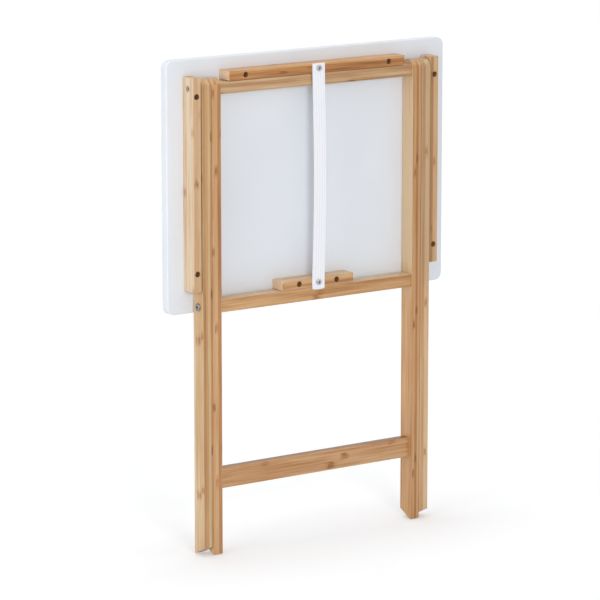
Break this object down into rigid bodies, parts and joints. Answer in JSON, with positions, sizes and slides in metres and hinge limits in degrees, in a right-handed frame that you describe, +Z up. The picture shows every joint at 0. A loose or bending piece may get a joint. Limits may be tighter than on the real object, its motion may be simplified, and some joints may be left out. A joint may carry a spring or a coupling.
{
  "type": "folding tray table",
  "caption": "Folding tray table, folded upright: white board top on battens, scissor legs of laminated bamboo, catch block and webbing strap.",
  "frame": {"origin": "on the floor, at the middle of the folded table's bounding box", "axes": "+Z up, X along the long side of the top, +Y out of the top's white upper face (the legs and the underside are on the -Y side)"},
  "size_m": [0.5, 0.0476, 0.744],
  "materials": {
    "bamboo": "laminated bamboo, clear satin lacquer",
    "bamboo_pale": "pale laminated bamboo, clear satin lacquer",
    "bamboo_dark": "carbonised laminated bamboo, clear satin lacquer",
    "dowel_wood": "plain turned wood",
    "white_board": "fibreboard with white satin lacquer",
    "webbing": "woven white webbing",
    "zinc_steel": "zinc-plated steel",
    "nylon": "black nylon"
  },
  "bodies": {
    "hinge_bolts": {"scissor_bolt_left": "zinc_steel", "scissor_bolt_right": "zinc_steel", "scissor_nuts": "zinc_steel", "scissor_washers": "nylon"},
    "outer_legs": {"outer_leg_left": "bamboo", "outer_leg_right": "bamboo"},
    "inner_frame": {"inner_leg_left": "bamboo", "inner_leg_right": "bamboo", "top_rail": "bamboo_dark", "mid_rail": "bamboo", "stretcher": "bamboo", "mid_rail_dowels": "dowel_wood", "stretcher_dowels": "dowel_wood"},
    "rail_dowels": {"rail_dowels": "dowel_wood"},
    "table_top": {"top_panel": "white_board", "left_batten": "bamboo_pale", "right_batten": "bamboo_pale", "rear_batten": "bamboo_dark", "catch_block": "bamboo_dark", "strap": "webbing", "strap_screw_upper": "zinc_steel", "strap_screw_lower": "zinc_steel", "side_batten_screws": "zinc_steel", "rear_batten_screws": "zinc_steel", "block_screws": "zinc_steel", "pivot_pin_left": "zinc_steel", "pivot_pin_right": "zinc_steel", "pivot_washers": "nylon"}
  },
  "joints": [
    {"name": "inner_leg_swing", "type": "hinge", "parent": "hinge_bolts", "child": "inner_frame", "pos_m": [0, -0.0057, 0.378], "axis": [-1, 0, 0], "range_deg": [0, 26.6]},
    {"name": "outer_leg_swing", "type": "hinge", "parent": "hinge_bolts", "child": "outer_legs", "pos_m": [0, -0.0057, 0.378], "axis": [1, 0, 0], "range_deg": [0, 26.6]},
    {"name": "rail_turn", "type": "hinge", "parent": "inner_frame", "child": "rail_dowels", "pos_m": [0, -0.0057, 0.703], "axis": [1, 0, 0], "range_deg": [0, 116.6]},
    {"name": "top_slide", "type": "slide", "parent": "rail_dowels", "child": "table_top", "axis": [0, 0, 1], "range_m": [0, 0.29105]}
  ],
  "couplings": [
    {"joint": "outer_leg_swing", "follows": "inner_leg_swing", "ratio": 1},
    {"joint": "rail_turn", "follows": "inner_leg_swing", "ratio": 4.3835},
    {"joint": "top_slide", "follows": "inner_leg_swing", "m_per_rad": 0.6269}
  ]
}
